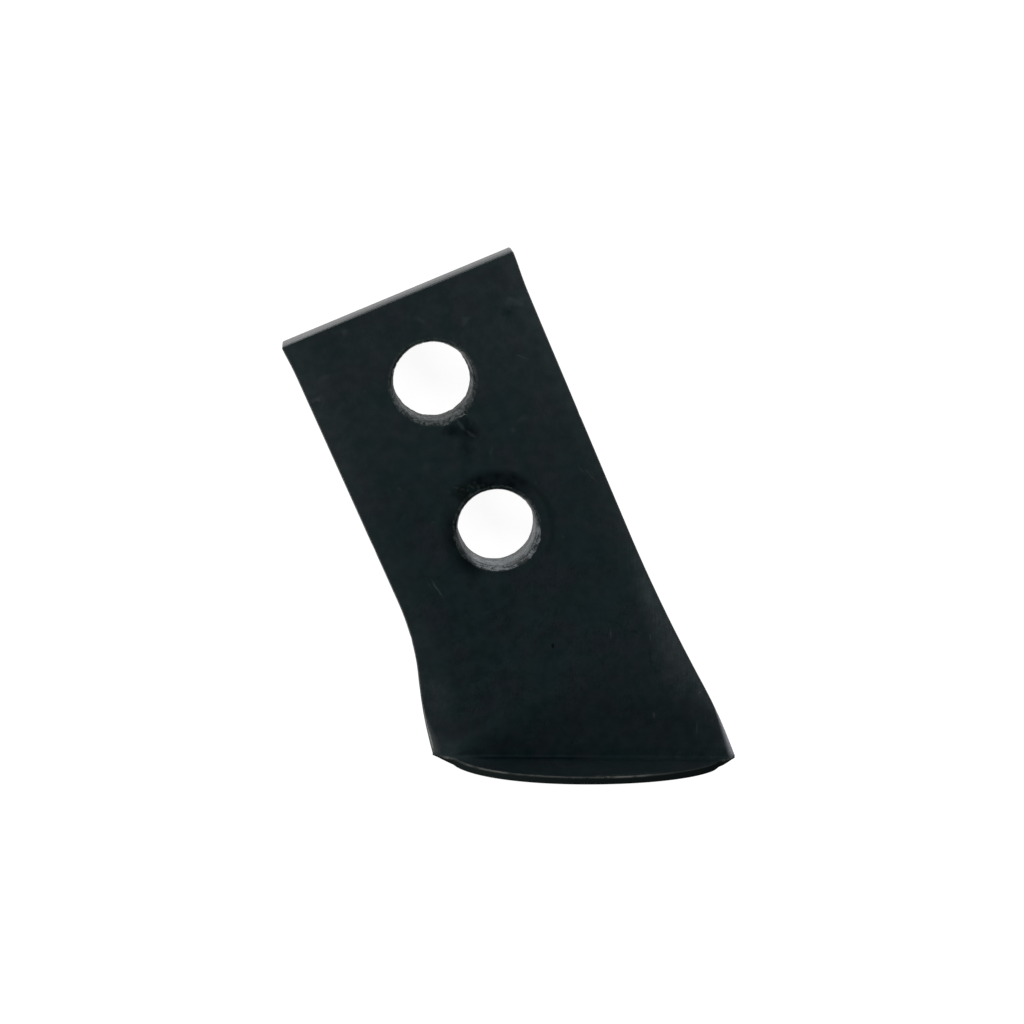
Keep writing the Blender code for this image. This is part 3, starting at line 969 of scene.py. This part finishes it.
def hole_wall(coat):
    """The holes' bare walls, streaked and with dark specks: their colour and their lightness."""
    upper = coat.fade(coat.y, -0.001, 0.001)
    streaked = coat.mapped(coat.warped(500, 0.0003), (0.0024, 0.0024, 0.00026))
    rings = coat.noise(1.0, 3.0, 0.65, streaked)
    crust = coat.noise(1500, 3.0, 0.62)
    specks = coat.noise(2900, 2.0, 0.6)
    pale = coat.fade(rings, 0.36, 0.62, 0.10, 1.0)
    lumps = coat.fade(crust, 0.38, 0.60, 0.06, 1.0)
    high = coat.product(upper, coat.fade(coat.z, 0.0016, 0.0032, 0.15, 0.85))
    pale = coat.between(high, pale, lumps)
    level = coat.fade(coat.z, 0.0030, 0.0060, 1.0, 0.65)
    for name, turn, start, end, least in (
        ("upper", 5, 0.82, 0.96, 0.22),
        ("lower", 180, 0.78, 0.98, 0.30),
        ("lower", 0, 0.86, 0.99, 0.60),
    ):
        here = upper if name == "upper" else coat.rest(upper)
        lost = coat.fade(coat.facing(coat.place, HOLES[name], turn), start, end, 0.0, 1 - least)
        level = coat.product(level, coat.rest(coat.product(lost, here)))
    pale = coat.product(pale, level)
    shade = coat.fade(specks, 0.38, 0.46, 0.95, 0.0)
    shade = coat.most(shade, coat.product(upper, coat.fade(rings, 0.40, 0.46, 0.7, 0.0)))
    tint = coat.blend(upper, LOWER_WALL_PALE, UPPER_WALL_PALE)
    return coat.blend(coat.product(pale, coat.rest(shade)), WALL_DARK, tint), level


def punched_holes(coat, colour):
    """The colour with the holes' rims, a dark line at their edges, and bare walls. Also the walls'
    share and lightness.
    """
    wall = 0.0
    for name, centre in HOLES.items():
        distance = coat.distance(coat.near_place, centre)
        above = coat.facing(coat.place, centre, 66)
        rim = coat.product(
            coat.band(distance, BORE_RADIUS + 0.00072, 0.00026),
            coat.fade(coat.fine, 0.40, 0.56, 0.05, 0.75),
        )
        dark_bore_line = coat.fade(distance, BORE_RADIUS + 0.0003, BORE_RADIUS + 0.0006, 1.0, 0.0)
        dark_bore_line = coat.product(dark_bore_line, 0.95)
        colour = coat.blend(rim, colour, RIM_GREY)
        colour = coat.blend(dark_bore_line, colour, NEAR_BLACK)
        outer, inner = BORE_RADIUS + 0.90 * RIM_WIDTH, BORE_RADIUS - 0.1 * RIM_WIDTH
        limit = coat.fade(above, -0.45, 0.55, outer, inner)
        if name == "lower":
            wide = coat.fade(coat.facing(coat.place, centre, -48), 0.55, 0.95, 0.0, 0.00035)
            limit = coat.sum(limit, wide)
        ragged = coat.math("MULTIPLY_ADD", coat.fine, 0.0003, -0.00015)
        beyond = coat.sum(coat.math("SUBTRACT", distance, limit), ragged)
        wall = coat.most(wall, coat.fade(beyond, -0.00006, 0.00006, 1.0, 0.0))
    wall_colour, wall_level = hole_wall(coat)
    return coat.blend(wall, colour, wall_colour), wall, wall_level


def sheared_end(coat, colour):
    """The colour with the bolted end's bare face, and the share of the gloss that is left there."""
    end_face = coat.fade(coat.measure("end_edge"), 0.02, 0.20, 1.0, 0.0)
    upper_part = coat.fade(coat.z, 0.0026, 0.0040)
    upper_part = coat.product(upper_part, coat.fade(coat.x, -0.018, -0.003, 0.15, 1.0))
    sheared = coat.product(end_face, coat.math("MULTIPLY_ADD", upper_part, -0.85, 1.0))
    end_tone = coat.blend(coat.fade(coat.fine, 0.4, 0.6), SHEARED_PALE, SHEARED_DARK)
    colour = coat.blend(sheared, colour, end_tone)
    gloss = coat.product(
        coat.math("MULTIPLY_ADD", upper_part, -0.55, 1.0),
        coat.fade(coat.x, 0.0, 0.018, 0.86, 0.70),
    )
    return colour, coat.fade(end_face, 0.0, 1.0, 1.0, gloss)


def lip_wear_and_highlight(coat, on_lip, end_gap, inner_depth, along):
    """How pale the lip's inner side is: a broken line along its end and its tips, which are wear
    and painted highlight on the edge's rounding, and flecks below.
    """
    wander = coat.math("MULTIPLY_ADD", coat.noise(600, 3.0), 0.5, -0.25)
    inner_side = coat.product(on_lip, coat.fade(inner_depth, 0.10, 0.35, 1.0, 0.0))
    line = coat.product(coat.band(coat.sum(end_gap, wander), 0.12, 0.34), inner_side)
    patches = coat.fade(coat.noise(330, 3.0), 0.36, 0.56, 0.35, 1.0)
    left_part = coat.band(along, 8.8, 6.5)
    right_part = coat.product(coat.band(along, 32.0, 6.0), 0.9)
    bright = coat.most(left_part, right_part)
    bright = coat.most(bright, coat.fade(along, 30.0, 44.0, 0.42, 0.02))
    right_end = CHORD.length * MILLIMETRES
    left_tip = coat.fade(along, 2.5, 4.5, 1.0, 0.0)
    right_tip = coat.fade(along, right_end - 3, right_end - 1.5)
    tips = coat.most(left_tip, right_tip)
    bright = coat.most(bright, coat.product(tips, coat.fade(coat.fine, 0.44, 0.58)))
    flecks = coat.product(
        coat.fade(coat.fine, 0.54, 0.62),
        coat.fade(end_gap, 0.4, 2.0, 0.9, 0.0),
        coat.band(along, 31.5, 6.5),
        inner_side,
    )
    return coat.most(coat.product(line, patches, bright), flecks)


def bent_lip(coat, colour, past_crease):
    """The colour with the lip's painted shade, its end line of wear and painted highlight, and
    painted shade in the fold. Also how dull the coat is there.
    """
    end_gap = coat.measure("end_gap")
    inner_depth = coat.measure("inner_depth")
    on_lip = coat.fade(past_crease, 0.10, 0.45)
    land = coat.fade(past_crease, 0.02, 0.12)
    land = coat.product(land, coat.fade(end_gap, 0.05, 0.22, 1.0, 0.0))
    along = coat.measure("along")
    lip_shade = coat.fade(along, 3.0, 14.0, 0.95, 0.60)
    # Painted shade: the lip's inner face is darkened, more so away from the short side.
    colour = coat.blend(coat.fade(on_lip, 0.0, 1.0, 1.0, lip_shade), BLACK, colour)
    land_coat = coat.blend(coat.fade(along, 6.0, 26.0), LIP_COAT_LEFT, LIP_COAT)
    colour = coat.blend(coat.product(land, 0.95), colour, land_coat)
    # The lip's end line and tips: wear and painted highlight.
    lightened = lip_wear_and_highlight(coat, on_lip, end_gap, inner_depth, along)
    colour = coat.blend(lightened, colour, WEAR_AND_HIGHLIGHT_GREY)
    folded = coat.fade(coat.measure("crease"), 0.20, 2.40, 1.0, 0.0)
    dark_part = coat.fade(along, 5.0, 10.0)
    dark_part = coat.product(dark_part, coat.fade(along, 22.0, 31.0, 0.9, 0.0))
    # Painted shade: a dark line in the crease, over part of the bend's length.
    fold = coat.product(
        coat.band(past_crease, 0.62, 0.36),
        coat.fade(inner_depth, 0.10, 0.30, 1.0, 0.0),
        dark_part,
    )
    colour = coat.blend(fold, colour, NEAR_BLACK)
    return colour, coat.most(coat.product(folded, 0.95), land)


def black_coat():
    """The thin black coat over scale, with the bare marks of shearing, punching and handling, and
    with painted light and shade.
    """
    coat = Coat()
    colour, dimming = coat_colour(coat, coat_tone(coat))
    roughness = coat.fade(coat.noise(230, 3.0), 0.30, 0.70, 0.36, 0.39)
    past_crease = coat.measure("past_crease")
    # The halo is painted shade round the lower hole; the coat's gloss is lowered there too.
    halo = lower_hole_shade(coat)
    colour = hole_shade_and_flakes(coat, colour, halo)
    colour = side_lines_and_corner_highlights(coat, colour, past_crease)
    colour, wall, wall_level = punched_holes(coat, colour)
    colour, end_gloss = sheared_end(coat, colour)
    colour, dull = bent_lip(coat, colour, past_crease)
    dull = coat.most(dull, coat.product(halo, 0.6))
    coat_gloss = coat.product(coat.rest(dull), dimming, end_gloss, 0.3)
    wall_gloss = coat.product(coat.fade(coat.y, -0.001, 0.001, 0.40, 0.20), wall_level)
    steel = coat.shader.inputs
    coat.put(steel["Specular IOR Level"], coat.between(wall, coat_gloss, wall_gloss))
    coat.put(steel["Base Color"], colour)
    coat.put(steel["Roughness"], coat.math("MULTIPLY_ADD", wall, 0.15, roughness))
    coat.put(steel["IOR"], 1.5)
    bump = coat.add("ShaderNodeBump")
    coat.put(bump.inputs["Strength"], 0.35)
    coat.put(bump.inputs["Distance"], 0.00006)
    height = coat.math("MULTIPLY_ADD", coat.fine, 0.7, coat.product(coat.grain, 0.3))
    coat.put(bump.inputs["Height"], coat.product(height, coat.math("MULTIPLY_ADD", wall, 2.0, 1.0)))
    coat.put(steel["Normal"], bump.outputs["Normal"])
    return coat.material


# The studio: sizes in metres, lamps in watts, and the sky as two heights and its light at each
FLOOR_HALF_WIDTH = 3.0
FLOOR_GLOW = 0.945
SKY_FADE = (0.05, 0.55, 0.60, 0.03)
SOFTBOX_TARGET = (0.0, -0.01, 0.0)
SOFTBOX_SIZE = 0.5
SOFTBOX_POWER = 9.7
SOFTBOXES = {
    "left_softbox": (-0.95, -0.35, 0.50),
    "right_softbox": (0.98, 0.18, 0.50),
    "back_softbox": (0.05, 1.00, 0.50),
}


def pale_floor():
    """A plain pale floor under the blade, bright of itself, that still takes a faint shadow."""
    model = bmesh.new()
    bmesh.ops.create_grid(model, x_segments=1, y_segments=1, size=FLOOR_HALF_WIDTH)
    floor = placed("pale_floor", mesh_from(model, "pale_floor"))
    floor.location.z = cad_box[0].z
    finish = Finish("pale_floor")
    look = finish.shader.inputs
    finish.put(look["Base Color"], grey(0.20))
    finish.put(look["Roughness"], 0.9)
    finish.put(look["Specular IOR Level"], 0.0)
    rays = finish.add("ShaderNodeLightPath").outputs
    seen = finish.most(rays["Is Camera Ray"], rays["Is Glossy Ray"], rays["Is Transmission Ray"])
    finish.put(look["Emission Color"], grey(1.0))
    finish.put(look["Emission Strength"], finish.product(seen, FLOOR_GLOW))
    floor.data.materials.append(finish.material)
    return floor


def studio_world():
    """White behind the blade, pale at the horizon and dim overhead, so the coat stays black."""
    world = bpy.data.worlds.new("studio")
    world.use_nodes = True
    tree = world.node_tree
    nodes, links = tree.nodes, tree.links
    background = nodes["Background"]
    direction = nodes.new("ShaderNodeTexCoord")
    separate = nodes.new("ShaderNodeSeparateXYZ")
    links.new(direction.outputs["Generated"], separate.inputs[0])
    height = nodes.new("ShaderNodeMapRange")
    height.interpolation_type = "SMOOTHSTEP"
    links.new(separate.outputs["Z"], height.inputs["Value"])
    for socket, number in zip(height.inputs[1:5], SKY_FADE):
        socket.default_value = number
    rays = nodes.new("ShaderNodeLightPath")
    level = nodes.new("ShaderNodeMix")
    links.new(rays.outputs["Is Camera Ray"], level.inputs[0])
    links.new(height.outputs[0], level.inputs[2])
    level.inputs[3].default_value = 1.0
    links.new(level.outputs[0], background.inputs["Strength"])
    bpy.context.scene.world = world


def softbox(name, place):
    """A large square lamp that shines towards the blade's middle."""
    lamp = bpy.data.lights.new(name, "AREA")
    lamp.shape = "SQUARE"
    lamp.size = SOFTBOX_SIZE
    lamp.energy = SOFTBOX_POWER
    holder = placed(name, lamp)
    holder.location = place
    towards = Vector(place) - Vector(SOFTBOX_TARGET)
    holder.rotation_euler = towards.to_track_quat("Z", "Y").to_euler()


def photo_camera():
    """The camera's place and lens, from the outlines of the shank, its holes and the lip."""
    camera = bpy.data.cameras.new("photo_camera")
    camera.lens = 83.426
    camera.sensor_width = 36.0
    camera.clip_start = 0.02
    camera.clip_end = 20.0
    right = Vector((0.91857574, -0.38657827, 0.08231561))
    up = Vector((0.39503687, 0.8912025, -0.22294388))
    back = Vector((0.01282538, 0.23730854, 0.97134966))
    place = Matrix((right, up, back)).transposed().to_4x4()
    place.translation = Vector((0.00846343, 0.08182641, 0.38931253))
    holder = placed("photo_camera", camera)
    holder.matrix_world = place
    bpy.context.scene.camera = holder


blade = cut_blade()
mark_places(blade.data)
blade.data.materials.clear()
blade.data.materials.append(black_coat())
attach(blade, "root")
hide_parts("tiller_blade")

floor = pale_floor()
studio_world()
for name, place in SOFTBOXES.items():
    softbox(name, place)
photo_camera()

view = bpy.context.scene.view_settings
view.view_transform = "Standard"
view.look = "None"
